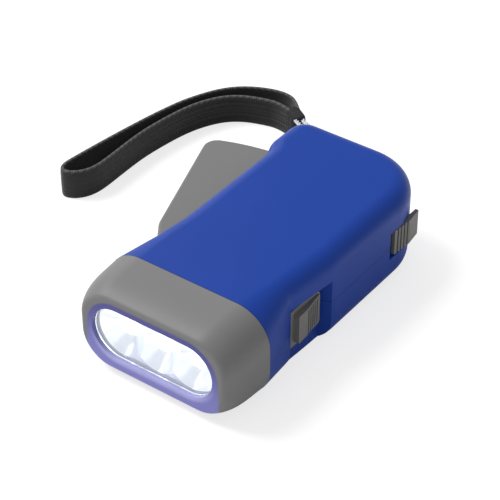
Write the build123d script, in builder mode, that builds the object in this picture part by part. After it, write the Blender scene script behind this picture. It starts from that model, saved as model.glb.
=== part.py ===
from build123d import *
import math
import os

# A squeeze-lever dynamo torch. Millimetres. The torch lies on its flat underside, z = 0.
# The beam leaves along -Y, +X is the side with the two sliders, and the lever opens to -X.

# Housing
THICKNESS = 29.0
WALL = 2.0
PARTING_Z = 13.5
SEAM_Y = -35.7
NECK_Y = -22.0
TAIL_Y = 48.6
SEAM_HALF_WIDTH = 27.0
SEAM_CORNER = 10.8
NECK_X = (-21.6, 23.8)
GRIP_X = -20.5
BULGE_X = 25.5
RECESS_X = 22.0
NUB_X = -22.8
EDGE_RADIUS = 5.6

# Head
LENS_Y = -50.0
RIM_Y = -52.0
RIM_SIZE = (47.7, 23.5)
OPENING_SIZE = (40.4, 16.9)
LED_SPACING = 11.4
LED_RADIUS = 2.5
BEAM_Z = 15.0
BOWL_RADIUS = 8.1

# Lever
PIVOT = (-15.5, -29.0)
LEVER_Z = (7.5, 21.5)
LEVER_SKIN = 2.0
HUB_RADIUS = 3.0
LEVER_REST_ANGLE = 19.2
LEVER_REAR_RADIUS = 65.5
PIVOT_PIN_RADIUS = 1.5
PIVOT_PIN_Z = (3.0, 26.0)

# Fits: pressed, running, and clear of a part that moves past
PRESS_GAP = 0.02
RUNNING_GAP = 0.05
SLOT_GAP = 0.3
BOSS_BITE = 0.2
FLOOR_Z = WALL - BOSS_BITE
ROOF_Z = THICKNESS - WALL + BOSS_BITE

# Gear train: module 0.6, stub teeth, 25 degree pressure angle
MODULE = 0.6
PRESSURE_ANGLE = math.radians(25)
FAN_TEETH = 120
PINION_TEETH = 10
GEAR_TEETH = 30
FAN_Z = (12.5, 16.5)
FIRST_GEAR_Z = (3.6, 6.6)
SECOND_GEAR_Z = (18.0, 21.0)
AXLE_RADIUS = 1.0
AXLE_Z = (1.2, 26.0)
FAN_DISTANCE = MODULE * (FAN_TEETH + PINION_TEETH) / 2
MESH_DISTANCE = MODULE * (GEAR_TEETH + PINION_TEETH) / 2


def ahead(start, angle, distance):
    """The point at a distance from start, the angle counted from +X in degrees."""
    turn = math.radians(angle)
    return (start[0] + distance * math.cos(turn), start[1] + distance * math.sin(turn))


FIRST_MESH_ANGLE = 68.0
SECOND_MESH_ANGLE = -13.0
THIRD_MESH_ANGLE = 82.0
FIRST_AXLE = ahead(PIVOT, FIRST_MESH_ANGLE, FAN_DISTANCE)
SECOND_AXLE = ahead(FIRST_AXLE, SECOND_MESH_ANGLE, MESH_DISTANCE)
ROTOR_AXIS = ahead(SECOND_AXLE, THIRD_MESH_ANGLE, MESH_DISTANCE)

# Generator
STATOR_RADIUS = 9.0
STATOR_Z = (7.2, 17.2)
MAGNET_RADIUS = 6.0
FLYWHEEL_RADIUS = 8.5
FLYWHEEL_Z = (22.0, 24.6)
ROTOR_SHAFT_Z = (2.4, 26.6)

# Sliders on the right side
LIGHT_SLIDER_Y = (-22.0, -8.0)
LIGHT_SLIDER_Z = (7.7, 20.2)
LIGHT_SLIDER_TRAVEL = 1.8
LOCK_SLIDER_Y = (27.4, 40.0)
LOCK_SLIDER_Z = (10.0, 18.4)
LOCK_SLIDER_TRAVEL = 2.2
LOCK_FLOOR_X = 24.1

# Latch: an arm on the lever, with a notch that the lock slider's pin drops into
LATCH_RADII = (60.5, 64.0)
LATCH_Z = (18.6, 21.2)
LATCH_PIN = (19.0, 26.5)
LATCH_PIN_RADIUS = 0.8

# Fixings
SCREWS = ((-3.0, -30.2), (20.4, -3.2), (10.0, 40.6), (-9.5, 40.6))
BOARD_Z = (5.5, 6.6)
BOARD_POSTS = ((10.8, -18.4), (18.2, -7.4))
SPRING_POST = (-13.2, -33.3)
SPRING_POST_RADIUS = 0.6
SCREW_RADIUS = 0.9
SCREW_HEAD_RADIUS = 1.7
SCREW_Z = (1.6, 20.0)
BOSS_RADIUS = 2.3
PIVOT_BOSS_RADIUS = 3.2
AXLE_BOSS_RADIUS = 2.2
ROTOR_BOSS_RADIUS = 2.6

# Wrist strap: webbing on edge on the floor, and the thin cord that joins it to the tail
WEBBING_WIDTH = 10.0
WEBBING_THICKNESS = 1.3
CORD_RADIUS = 0.7
CORD_HOLES = ((-15.6, TAIL_Y, 15.6), (-12.4, TAIL_Y, 15.6))

os.makedirs("parts", exist_ok=True)


def save(piece, name):
    """Labels a finished piece and writes it."""
    piece.part.label = name
    export_step(piece.part, f"parts/{name}.step")


def disc(centre, radius, low, high, bore=0.0):
    """A round solid standing between two heights, with a bore if it has one."""
    with BuildPart() as round_piece:
        with BuildSketch(Plane.XY.offset(low)):
            with Locations(centre):
                Circle(radius)
                if bore:
                    Circle(bore, mode=Mode.SUBTRACT)
        extrude(amount=high - low)
    return round_piece.part


def block(x_range, y_range, z_range):
    """A plain rectangular solid between three pairs of limits."""
    with BuildPart() as box:
        with BuildSketch(Plane.XY.offset(z_range[0])):
            with Locations(((x_range[0] + x_range[1]) / 2, (y_range[0] + y_range[1]) / 2)):
                Rectangle(x_range[1] - x_range[0], y_range[1] - y_range[0])
        extrude(amount=z_range[1] - z_range[0])
    return box.part


def across(y, x_range, height, corner):
    """A rounded rectangle that stands across the torch at y, at half its thickness."""
    with BuildSketch(Plane.XZ.offset(-y)) as section:
        with Locations(((x_range[0] + x_range[1]) / 2, THICKNESS / 2)):
            RectangleRounded(x_range[1] - x_range[0], height, corner)
    return section.sketch


# ---------------------------------------------------------------- housing
def grip_plan(inset):
    """The plan of the grip, from the neck to the tail, drawn in by inset."""
    front_y = NECK_Y - 2 * inset
    corners = (
        ((NECK_X[0], front_y), 0),
        ((NECK_X[0], NECK_Y + 1.5), 12),
        ((GRIP_X, -12.0), 30),
        ((GRIP_X, 28.0), 8),
        ((NUB_X, 33.0), 8),
        ((NUB_X, TAIL_Y), 7),
        ((BULGE_X, TAIL_Y), 19),
        ((BULGE_X, -3.5), 30),
        ((NECK_X[1], NECK_Y + 1.5), 12),
        ((NECK_X[1], front_y), 0),
    )
    with BuildSketch() as plan:
        with BuildLine():
            Polyline(*[point for point, radius in corners], close=True)
        make_face()
        for point, radius in corners:
            if radius:
                fillet(plan.vertices().sort_by_distance(point)[0], radius)
        if inset:
            offset(amount=-inset, kind=Kind.INTERSECTION)
    return plan.sketch


def slider_recess(inset):
    """The space at the waist that the light slider stands in, open below, grown by inset."""
    with BuildPart() as recess:
        with BuildSketch(Plane.XY.offset(-1)):
            with BuildLine():
                Polyline(
                    (RECESS_X - inset, NECK_Y - inset),
                    (RECESS_X - inset, -6.0 + inset),
                    (SEAM_HALF_WIDTH + 3, -2.4 + inset),
                    (SEAM_HALF_WIDTH + 3, NECK_Y - inset),
                    close=True,
                )
            make_face()
        extrude(amount=LIGHT_SLIDER_Z[1] + 0.4 + inset + 1)
    return recess.part


def housing_block(inset):
    """The housing's outside form, drawn in by inset all round."""
    neck_end = NECK_Y - inset
    with BuildPart() as grip:
        with BuildSketch(Plane.XY.offset(inset)):
            add(grip_plan(inset))
        extrude(amount=THICKNESS - 2 * inset)
        front_y = grip.faces().filter_by(Axis.Y).sort_by(Axis.Y)[0].center().Y
        rims = grip.faces().filter_by(Axis.Z).edges()
        fillet([edge for edge in rims if edge.center().Y > front_y + 0.01], EDGE_RADIUS - inset)
    with BuildPart() as neck:
        sections = (
            (SEAM_Y, (-SEAM_HALF_WIDTH, SEAM_HALF_WIDTH), SEAM_CORNER),
            (neck_end, NECK_X, EDGE_RADIUS),
        )
        for y, (low, high), corner in sections:
            with BuildSketch(Plane.XZ.offset(-y)):
                add(across(y, (low + inset, high - inset), THICKNESS - 2 * inset, corner - inset))
        loft()
    return grip.part + neck.part - slider_recess(inset)


OUTSIDE = housing_block(0)
INSIDE = housing_block(WALL)
SLOT = block((-30, -16), (-26.0, 37.5), (LEVER_Z[0] - SLOT_GAP, LEVER_Z[1] + SLOT_GAP))
SWITCH_SLOT = block((19, 23), (-18.2, -9.8), (12.0, 16.0))
LOCK_RECESS = block((LOCK_FLOOR_X, 30), (24.9, 46), (LOCK_SLIDER_Z[0] - 0.4, LOCK_SLIDER_Z[1] + 0.4))
LOCK_SLOT = block((22, 25), (24.95, 29.8), (12.4, 16.0))
UPPER_HALF = block((-40, 40), (-60, 60), (PARTING_Z, THICKNESS + 1))
LOWER_HALF = block((-40, 40), (-60, 60), (-1, PARTING_Z))


with BuildPart() as upper_shell:
    add(OUTSIDE)
    add(INSIDE, mode=Mode.SUBTRACT)
    for cut in (SLOT, SWITCH_SLOT, LOCK_RECESS, LOCK_SLOT):
        add(cut, mode=Mode.SUBTRACT)
    add(UPPER_HALF, mode=Mode.INTERSECT)
    for screw in SCREWS:
        add(disc(screw, BOSS_RADIUS, PARTING_Z, ROOF_Z))
    add(disc(PIVOT, PIVOT_BOSS_RADIUS, LEVER_Z[1] + SLOT_GAP, ROOF_Z))
    for axle in (FIRST_AXLE, SECOND_AXLE):
        add(disc(axle, AXLE_BOSS_RADIUS, 22.0, ROOF_Z))
    add(disc(ROTOR_AXIS, ROTOR_BOSS_RADIUS, 25.2, ROOF_Z))
    for screw in SCREWS:
        add(disc(screw, SCREW_RADIUS + RUNNING_GAP, PARTING_Z - 1, SCREW_Z[1] + 3), mode=Mode.SUBTRACT)
    add(disc(PIVOT, PIVOT_PIN_RADIUS + PRESS_GAP, LEVER_Z[1], PIVOT_PIN_Z[1] + 0.2), mode=Mode.SUBTRACT)
    for axle in (FIRST_AXLE, SECOND_AXLE):
        add(disc(axle, AXLE_RADIUS + PRESS_GAP, 21, AXLE_Z[1] + 0.2), mode=Mode.SUBTRACT)
    add(disc(ROTOR_AXIS, AXLE_RADIUS + RUNNING_GAP, 25, ROTOR_SHAFT_Z[1] + 0.2), mode=Mode.SUBTRACT)
    for x, y, z in CORD_HOLES:
        with Locations(Plane.XZ.offset(-TAIL_Y + 4) * Location((x, z, 0))):
            Cylinder(CORD_RADIUS + 0.25, 12, mode=Mode.SUBTRACT)
save(upper_shell, "upper_shell")

with BuildPart() as lower_shell:
    add(OUTSIDE)
    add(INSIDE, mode=Mode.SUBTRACT)
    for cut in (SLOT, SWITCH_SLOT, LOCK_RECESS, LOCK_SLOT):
        add(cut, mode=Mode.SUBTRACT)
    add(LOWER_HALF, mode=Mode.INTERSECT)
    for screw in SCREWS:
        add(disc(screw, BOSS_RADIUS + 0.4, FLOOR_Z, PARTING_Z))
    add(disc(PIVOT, PIVOT_BOSS_RADIUS, FLOOR_Z, LEVER_Z[0] - SLOT_GAP))
    for axle in (FIRST_AXLE, SECOND_AXLE):
        add(disc(axle, AXLE_BOSS_RADIUS, FLOOR_Z, FIRST_GEAR_Z[0] - 0.2))
    add(disc(ROTOR_AXIS, ROTOR_BOSS_RADIUS, FLOOR_Z, 4.0))
    add(disc(SPRING_POST, SPRING_POST_RADIUS, FLOOR_Z, 12.0))
    for post in BOARD_POSTS:
        add(disc(post, 1.3, FLOOR_Z, BOARD_Z[0] - RUNNING_GAP))
        add(disc(post, 0.55, BOARD_Z[0] - 0.1, BOARD_Z[1] - 0.2))
    add(disc(ROTOR_AXIS, STATOR_RADIUS, FLOOR_Z, STATOR_Z[0] - 0.1, bore=STATOR_RADIUS - 1.2))
    add(disc(FIRST_AXLE, 10.1, FIRST_GEAR_Z[0] - 0.3, STATOR_Z[0]), mode=Mode.SUBTRACT)
    add(disc(SECOND_AXLE, 4.3, FIRST_GEAR_Z[0] - 0.3, STATOR_Z[0]), mode=Mode.SUBTRACT)
    for screw in SCREWS:
        add(disc(screw, SCREW_RADIUS + 0.2, -1, PARTING_Z + 1), mode=Mode.SUBTRACT)
        add(disc(screw, SCREW_HEAD_RADIUS + 0.2, -1, 3.0), mode=Mode.SUBTRACT)
    add(disc(PIVOT, PIVOT_PIN_RADIUS + PRESS_GAP, PIVOT_PIN_Z[0] - 0.2, LEVER_Z[0]), mode=Mode.SUBTRACT)
    for axle in (FIRST_AXLE, SECOND_AXLE):
        add(disc(axle, AXLE_RADIUS + PRESS_GAP, AXLE_Z[0] - 0.2, 4), mode=Mode.SUBTRACT)
    add(disc(ROTOR_AXIS, AXLE_RADIUS + RUNNING_GAP, ROTOR_SHAFT_Z[0] - 0.2, 4.2), mode=Mode.SUBTRACT)
save(lower_shell, "lower_shell")


# ---------------------------------------------------------------- head
with BuildPart() as head_bezel:
    sections = (
        (SEAM_Y, 2 * SEAM_HALF_WIDTH, THICKNESS, SEAM_CORNER),
        (-43.5, 53.0, 28.2, 10.6),
        (-49.5, 50.4, 26.0, 10.0),
        (RIM_Y, RIM_SIZE[0], RIM_SIZE[1], 9.2),
    )
    for y, width, height, corner in sections:
        with BuildSketch(Plane.XZ.offset(-y)):
            add(across(y, (-width / 2, width / 2), height, corner))
    loft()
    with BuildSketch(Plane.XZ.offset(-SEAM_Y)):
        add(across(SEAM_Y, (-23.2, 23.2), 24.4, 8.4))
    extrude(amount=-1.7)
    rim_edges = head_bezel.faces().sort_by(Axis.Y)[0].edges()
    fillet(rim_edges, 1.6)
    cavities = (
        (RIM_Y - 1, LENS_Y, OPENING_SIZE[0], OPENING_SIZE[1]),
        (LENS_Y, -45.4, OPENING_SIZE[0] + 2.4, OPENING_SIZE[1] + 2.4),
    )
    for front_y, rear_y, width, height in cavities:
        with BuildSketch(Plane.XZ.offset(-rear_y)):
            with Locations((0, BEAM_Z)):
                SlotOverall(width, height)
        extrude(amount=rear_y - front_y, mode=Mode.SUBTRACT)
    with BuildSketch(Plane.XZ.offset(-SEAM_Y - 3)):
        add(across(SEAM_Y, (-21.8, 21.8), 21.6, 7.4))
    extrude(amount=SEAM_Y + 3 + 45.4, mode=Mode.SUBTRACT)
save(head_bezel, "head_bezel")


def stadium(front_y, rear_y, width, height):
    """A slot-shaped plate across the beam, between two depths."""
    with BuildPart() as plate:
        with BuildSketch(Plane.XZ.offset(-rear_y)):
            with Locations((0, BEAM_Z)):
                SlotOverall(width, height)
        extrude(amount=rear_y - front_y)
    return plate.part


def beam_round(x, radius, front_y, rear_y):
    """A round solid along the beam, centred at x."""
    with BuildPart() as round_piece:
        with BuildSketch(Plane.XZ.offset(-rear_y)):
            with Locations((x, BEAM_Z)):
                Circle(radius)
        extrude(amount=rear_y - front_y)
    return round_piece.part


LED_X = (-LED_SPACING, 0.0, LED_SPACING)

with BuildPart() as lens:
    add(stadium(LENS_Y + 0.05, -48.6, OPENING_SIZE[0] + 2.2, OPENING_SIZE[1] + 2.2))
    add(stadium(LENS_Y - 0.8, LENS_Y + 0.1, OPENING_SIZE[0] - 0.2, OPENING_SIZE[1] - 0.2))
save(lens, "lens")

# three bowls that run into each other, each with a hole for its lamp
with BuildPart() as reflector:
    add(stadium(-48.5, -41.5, OPENING_SIZE[0] + 2.0, OPENING_SIZE[1] + 2.0))
    for x in LED_X:
        with BuildSketch(Plane.XZ.offset(48.6)):
            with Locations((x, BEAM_Z)):
                Circle(BOWL_RADIUS)
        with BuildSketch(Plane.XZ.offset(42.6)):
            with Locations((x, BEAM_Z)):
                Circle(3.4)
        loft(mode=Mode.SUBTRACT)
        add(beam_round(x, LED_RADIUS + 0.1, -49, -41), mode=Mode.SUBTRACT)
save(reflector, "reflector")

for name, x in zip(("left_led", "middle_led", "right_led"), LED_X):
    with BuildPart() as led:
        add(beam_round(x, LED_RADIUS, -44.5, -41.0))
        with Locations((x, -44.5, BEAM_Z)):
            Sphere(LED_RADIUS)
        for side in (-1.27, 1.27):
            add(beam_round(x + side, 0.28, -41.2, -38.2))
    save(led, name)

with BuildPart() as led_board:
    add(block((-19.0, 19.0), (-40.9, -39.7), (BEAM_Z - 7, BEAM_Z + 7)))
    for x in LED_X:
        for side in (-1.27, 1.27):
            add(beam_round(x + side, 0.45, -42, -39), mode=Mode.SUBTRACT)
    for x in (LED_X[0] / 2, LED_X[2] / 2):
        add(block((x - 1.6, x + 1.6), (-39.7, -38.9), (BEAM_Z + 3.5, BEAM_Z + 5.1)))
save(led_board, "led_board")


# ---------------------------------------------------------------- lever
def lever_plane(z):
    """The lever's own axes at height z: x square to its outer face, y along it, origin at the pivot."""
    turn = math.radians(LEVER_REST_ANGLE)
    square_to_face = (math.cos(turn), math.sin(turn), 0)
    return Plane(origin=(PIVOT[0], PIVOT[1], z), x_dir=square_to_face, z_dir=(0, 0, 1))


def polar(radius, angle):
    """A point of the lever's own axes; the angle counts from its length towards the housing."""
    return (radius * math.sin(math.radians(angle)), radius * math.cos(math.radians(angle)))


LEVER_OUTER_X = -7.15
LEVER_INNER_ANGLE = 16.5
outer_corner_angle = math.degrees(math.asin(LEVER_OUTER_X / LEVER_REAR_RADIUS))
mid_rear_angle = (outer_corner_angle + LEVER_INNER_ANGLE) / 2


def lever_plan():
    """The lever's plan: neck, front ramp, outer face, rear arc about the pivot, straight inner edge."""
    with BuildSketch() as plan:
        with BuildLine():
            face = Polyline(
                (2.0, 1.0),
                (-2.6, 2.5),
                (-2.8, 11.2),
                (-5.3, 13.9),
                (LEVER_OUTER_X, 20.5),
                polar(LEVER_REAR_RADIUS, outer_corner_angle),
            )
            rear = ThreePointArc(
                face @ 1,
                polar(LEVER_REAR_RADIUS, mid_rear_angle),
                polar(LEVER_REAR_RADIUS, LEVER_INNER_ANGLE),
            )
            Line(rear @ 1, face @ 0)
        make_face()
        fillet(plan.vertices().sort_by_distance(face @ 1)[0], 4.5)
        fillet(plan.vertices().sort_by_distance((LEVER_OUTER_X, 20.5))[0], 8)
        fillet(plan.vertices().sort_by_distance((-5.3, 13.9))[0], 3)
    return plan.sketch


def lever_hollow():
    """The hollow between the lever's two skins, open towards the housing."""
    with BuildSketch() as plan:
        with BuildLine():
            Polyline(
                (-0.8, 6.5),
                (-0.8, 11.8),
                (-3.4, 14.7),
                (LEVER_OUTER_X + LEVER_SKIN, 21.0),
                (LEVER_OUTER_X + LEVER_SKIN, 62.9),
                (14.0, 61.5),
                (22.0, 59.0),
                (8.0, 4.0),
                close=True,
            )
        make_face()
        fillet(plan.vertices().sort_by_distance((LEVER_OUTER_X + LEVER_SKIN, 62.9))[0], 3)
    return plan.sketch


def sector(inner, outer, start, end):
    """A ring sector in the lever's own axes, its angles counted from the lever's length."""
    limits = [polar(1.3 * outer, angle) for angle in (start, (start + end) / 2, end)]
    with BuildSketch() as plan:
        Circle(outer)
        if inner:
            Circle(inner, mode=Mode.SUBTRACT)
        with BuildSketch(mode=Mode.INTERSECT):
            with BuildLine():
                Polyline((0, 0), *limits, close=True)
            make_face()
    return plan.sketch


def involute(angle):
    return math.tan(angle) - angle


def tooth(teeth, centre_angle):
    """The outline of one gear tooth about the origin, pointing at an angle in degrees."""
    pitch_radius = MODULE * teeth / 2
    base_radius = pitch_radius * math.cos(PRESSURE_ANGLE)
    tip_radius = pitch_radius + 0.8 * MODULE
    root_radius = pitch_radius - 1.15 * MODULE
    backlash = 0.05
    start_radius = max(base_radius, root_radius)
    half_at_pitch = math.pi / (2 * teeth) - backlash / (2 * pitch_radius)
    flank = []
    for step in range(5):
        radius = start_radius + (tip_radius - start_radius) * step / 4
        pressure = math.acos(min(1.0, base_radius / radius))
        flank.append((radius, half_at_pitch + involute(PRESSURE_ANGLE) - involute(pressure)))
    flank.insert(0, (root_radius - 0.15, flank[0][1]))
    centre = math.radians(centre_angle)
    left = [(r * math.cos(centre + half), r * math.sin(centre + half)) for r, half in flank]
    right = [(r * math.cos(centre - half), r * math.sin(centre - half)) for r, half in reversed(flank)]
    with BuildSketch() as outline:
        with BuildLine():
            Polyline(*left, *right, close=True)
        make_face()
    return outline.sketch


def gear(centre, teeth, tooth_angle, z_range, bore):
    """A spur gear with one tooth pointing at tooth_angle."""
    root_radius = MODULE * teeth / 2 - 1.15 * MODULE
    with BuildPart() as wheel:
        with BuildSketch(Plane((centre[0], centre[1], z_range[0]))):
            Circle(root_radius)
            for count in range(teeth):
                add(tooth(teeth, tooth_angle + 360 * count / teeth))
            Circle(bore, mode=Mode.SUBTRACT)
        extrude(amount=z_range[1] - z_range[0])
    return wheel.part


FAN_PITCH = 360 / FAN_TEETH
FAN_ROOT_RADIUS = MODULE * FAN_TEETH / 2 - 1.15 * MODULE
fan_mesh_angle = FIRST_MESH_ANGLE - LEVER_REST_ANGLE
latched_pin_y = LATCH_PIN[1] - LOCK_SLIDER_TRAVEL
latch_notch_angle = math.degrees(math.atan2(LATCH_PIN[0] - PIVOT[0], latched_pin_y - PIVOT[1])) - 0.35

with BuildPart() as squeeze_lever:
    with BuildSketch(lever_plane(LEVER_Z[0])):
        add(lever_plan())
    extrude(amount=LEVER_Z[1] - LEVER_Z[0])
    top_rim = squeeze_lever.faces().sort_by(Axis.Z)[-1].edges().sort_by(Axis.X)[0:2]
    fillet(top_rim, 0.8)
    with BuildSketch(lever_plane(LEVER_Z[0] + LEVER_SKIN)):
        add(lever_hollow())
    extrude(amount=LEVER_Z[1] - LEVER_Z[0] - 2 * LEVER_SKIN, mode=Mode.SUBTRACT)
    for y in (26.0, 38.0, 50.0):
        with BuildSketch(lever_plane(LEVER_Z[0] + 1)):
            with Locations((-3.4, y)):
                Rectangle(5.0, 1.2)
        extrude(amount=LEVER_Z[1] - LEVER_Z[0] - 2)
    with BuildSketch(lever_plane(LEVER_Z[0] + LEVER_SKIN)):
        Circle(HUB_RADIUS + 1.3)
    extrude(amount=FAN_Z[0] - LEVER_Z[0] - LEVER_SKIN, mode=Mode.SUBTRACT)
    with BuildSketch(lever_plane(LEVER_Z[0])):
        Circle(HUB_RADIUS)
    extrude(amount=LEVER_Z[1] - LEVER_Z[0])
    with BuildSketch(lever_plane(FAN_Z[0])):
        add(sector(0, FAN_ROOT_RADIUS, 90 - fan_mesh_angle - 26.5, 90 - fan_mesh_angle + 4.5))
        for count in range(-1, 9):
            add(tooth(FAN_TEETH, fan_mesh_angle + FAN_PITCH * count))
        add(sector(14, 30, 90 - fan_mesh_angle - 17, 90 - fan_mesh_angle - 1), mode=Mode.SUBTRACT)
    extrude(amount=FAN_Z[1] - FAN_Z[0])
    with BuildSketch(lever_plane(LEVER_Z[0] + LEVER_SKIN + 0.3)):
        with Locations((7.1, 6.4)):
            Circle(0.8)
    extrude(amount=FAN_Z[0] - LEVER_Z[0] - LEVER_SKIN)
    with BuildSketch(lever_plane(LATCH_Z[0])):
        add(sector(LATCH_RADII[0], LATCH_RADII[1], 10, latch_notch_angle + 3.0))
        with Locations(polar(LATCH_RADII[1], latch_notch_angle)):
            with Locations(Rotation(0, 0, -latch_notch_angle)):
                Rectangle(3.1, 3.4, mode=Mode.SUBTRACT)
    extrude(amount=LATCH_Z[1] - LATCH_Z[0])
    with BuildSketch(lever_plane(LEVER_Z[0])):
        Circle(PIVOT_PIN_RADIUS + RUNNING_GAP)
    extrude(amount=LEVER_Z[1] - LEVER_Z[0], mode=Mode.SUBTRACT)
save(squeeze_lever, "squeeze_lever")

with BuildPart() as lever_pivot_pin:
    add(disc(PIVOT, PIVOT_PIN_RADIUS, *PIVOT_PIN_Z))
save(lever_pivot_pin, "lever_pivot_pin")

# torsion spring round the lever's hub: one leg on the shell's post, the other on the fan's peg
SPRING_WIRE = 0.45
SPRING_RADIUS = 3.7
SPRING_PITCH = 0.95
SPRING_TURNS = 2
SPRING_LEGS = (4.8, 7.6)
SPRING_LOW_Z = LEVER_Z[0] + LEVER_SKIN + 0.55
COIL_STEPS = 8


def spring_route():
    """The wire's line: in past the post, round the hub, and out to the lever's peg."""
    rise = SPRING_PITCH * SPRING_TURNS
    steps = COIL_STEPS * SPRING_TURNS
    leg_in = [(SPRING_RADIUS, -SPRING_LEGS[0] * share, 0) for share in (1, 2 / 3, 1 / 3)]
    leg_out = [(SPRING_RADIUS, SPRING_LEGS[1] * share, rise) for share in (1 / 4, 1 / 2, 3 / 4, 1)]
    coil = []
    for step in range(steps + 1):
        turn = 2 * math.pi * SPRING_TURNS * step / steps
        coil.append((SPRING_RADIUS * math.cos(turn), SPRING_RADIUS * math.sin(turn), rise * step / steps))
    return [(PIVOT[0] + x, PIVOT[1] + y, SPRING_LOW_Z + z) for x, y, z in leg_in + coil + leg_out]


with BuildPart() as return_spring:
    with BuildLine() as spring_line:
        Spline(*spring_route())
    with BuildSketch(Plane(origin=spring_line.line @ 0, z_dir=spring_line.line % 0)):
        Circle(SPRING_WIRE)
    sweep()
save(return_spring, "return_spring")


# ---------------------------------------------------------------- gear train
with BuildPart() as first_axle:
    add(disc(FIRST_AXLE, AXLE_RADIUS, *AXLE_Z))
save(first_axle, "first_axle")

with BuildPart() as second_axle:
    add(disc(SECOND_AXLE, AXLE_RADIUS, *AXLE_Z))
save(second_axle, "second_axle")

TURNING_BORE = AXLE_RADIUS + RUNNING_GAP
GEAR_HUB_RADIUS = 2.0
GEAR_HOLE_RADIUS = 1.5
GEAR_HOLE_CIRCLE = 5.2


def meshing(angle):
    """The tooth angle of a pinion whose gap takes the tooth that points at it along angle."""
    return angle + 180 + 180 / PINION_TEETH


with BuildPart() as drive_pinion:
    add(gear(FIRST_AXLE, PINION_TEETH, meshing(FIRST_MESH_ANGLE), FAN_Z, TURNING_BORE))
save(drive_pinion, "drive_pinion")

with BuildPart() as first_gear:
    add(gear(FIRST_AXLE, GEAR_TEETH, SECOND_MESH_ANGLE, FIRST_GEAR_Z, TURNING_BORE))
    add(disc(FIRST_AXLE, GEAR_HUB_RADIUS, FIRST_GEAR_Z[1], FAN_Z[0] - 0.05, bore=TURNING_BORE))
    for count in range(5):
        hole = ahead(FIRST_AXLE, 72 * count, GEAR_HOLE_CIRCLE)
        add(disc(hole, GEAR_HOLE_RADIUS, 3, 7), mode=Mode.SUBTRACT)
save(first_gear, "first_gear")

# saw-toothed wheel that the pawl slips over when the lever springs back
RATCHET_Z = (16.6, 17.3)
RATCHET_TEETH = 12
with BuildPart() as ratchet_wheel:
    with BuildSketch(Plane((FIRST_AXLE[0], FIRST_AXLE[1], RATCHET_Z[0]))):
        Circle(3.3)
        for count in range(RATCHET_TEETH):
            with Locations(Rotation(0, 0, 360 * count / RATCHET_TEETH)):
                with BuildLine():
                    Polyline((3.0, -0.8), (4.1, -0.8), (3.1, 0.9), close=True)
                make_face()
        Circle(TURNING_BORE, mode=Mode.SUBTRACT)
    extrude(amount=RATCHET_Z[1] - RATCHET_Z[0])
save(ratchet_wheel, "ratchet_wheel")

with BuildPart() as pawl_spring:
    add(disc(FIRST_AXLE, 4.6, RATCHET_Z[1] + 0.05, RATCHET_Z[1] + 0.4, bore=TURNING_BORE))
    for angle in (20, 140, 260):
        tip = ahead(FIRST_AXLE, angle, 4.55)
        add(disc(tip, 0.35, RATCHET_Z[0] + 0.1, RATCHET_Z[1] + 0.3))
save(pawl_spring, "pawl_spring")

with BuildPart() as second_pinion:
    add(gear(SECOND_AXLE, PINION_TEETH, meshing(SECOND_MESH_ANGLE), FIRST_GEAR_Z, TURNING_BORE))
    sleeve_z = (FIRST_GEAR_Z[1], SECOND_GEAR_Z[0] - 0.05)
    add(disc(SECOND_AXLE, GEAR_HUB_RADIUS - 0.4, *sleeve_z, bore=TURNING_BORE))
save(second_pinion, "second_pinion")

with BuildPart() as second_gear:
    add(gear(SECOND_AXLE, GEAR_TEETH, THIRD_MESH_ANGLE, SECOND_GEAR_Z, TURNING_BORE))
    for count in range(5):
        hole = ahead(SECOND_AXLE, 72 * count, GEAR_HOLE_CIRCLE)
        add(disc(hole, GEAR_HOLE_RADIUS, 17, 22), mode=Mode.SUBTRACT)
save(second_gear, "second_gear")


# ---------------------------------------------------------------- generator
PRESSED_BORE = AXLE_RADIUS + PRESS_GAP

with BuildPart() as rotor_shaft:
    add(disc(ROTOR_AXIS, AXLE_RADIUS, *ROTOR_SHAFT_Z))
save(rotor_shaft, "rotor_shaft")

with BuildPart() as rotor_pinion:
    add(gear(ROTOR_AXIS, PINION_TEETH, meshing(THIRD_MESH_ANGLE), SECOND_GEAR_Z, PRESSED_BORE))
save(rotor_pinion, "rotor_pinion")

with BuildPart() as rotor_magnet:
    add(disc(ROTOR_AXIS, MAGNET_RADIUS, 8.4, 16.0, bore=PRESSED_BORE))
save(rotor_magnet, "rotor_magnet")

with BuildPart() as flywheel:
    add(disc(ROTOR_AXIS, FLYWHEEL_RADIUS, *FLYWHEEL_Z, bore=PRESSED_BORE))
    add(disc(ROTOR_AXIS, FLYWHEEL_RADIUS - 1.6, FLYWHEEL_Z[0] + 0.9, 26, bore=2.4), mode=Mode.SUBTRACT)
save(flywheel, "flywheel")

# two pressed cups whose claws stand between each other round the magnet
CLAW_COUNT = 4
CLAW_RADII = (6.5, 7.0)
CUP_WALL = 0.5
STATOR_MIDDLE = sum(STATOR_Z) / 2


def claw_cup(floor_z, rim_z, claw_tip_z, first_claw):
    """A cup with a holed floor, a rim towards the other cup, and a ring of claws."""
    up = 1 if rim_z > floor_z else -1
    floor_range = sorted((floor_z, floor_z + up * CUP_WALL))
    with BuildPart() as cup:
        add(disc(ROTOR_AXIS, STATOR_RADIUS, *floor_range, bore=CLAW_RADII[0]))
        add(disc(ROTOR_AXIS, STATOR_RADIUS, *sorted((floor_z, rim_z)), bore=STATOR_RADIUS - CUP_WALL))
        claw_range = sorted((floor_z, claw_tip_z))
        with BuildSketch(Plane((ROTOR_AXIS[0], ROTOR_AXIS[1], claw_range[0]))):
            for count in range(CLAW_COUNT):
                start = first_claw + 360 * count / CLAW_COUNT
                add(sector(CLAW_RADII[0], CLAW_RADII[1], start, start + 30))
        extrude(amount=claw_range[1] - claw_range[0])
    return cup.part


with BuildPart() as lower_stator_cup:
    add(claw_cup(STATOR_Z[0], STATOR_MIDDLE - 0.05, STATOR_Z[1] - 1.2, 0))
save(lower_stator_cup, "lower_stator_cup")

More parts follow.
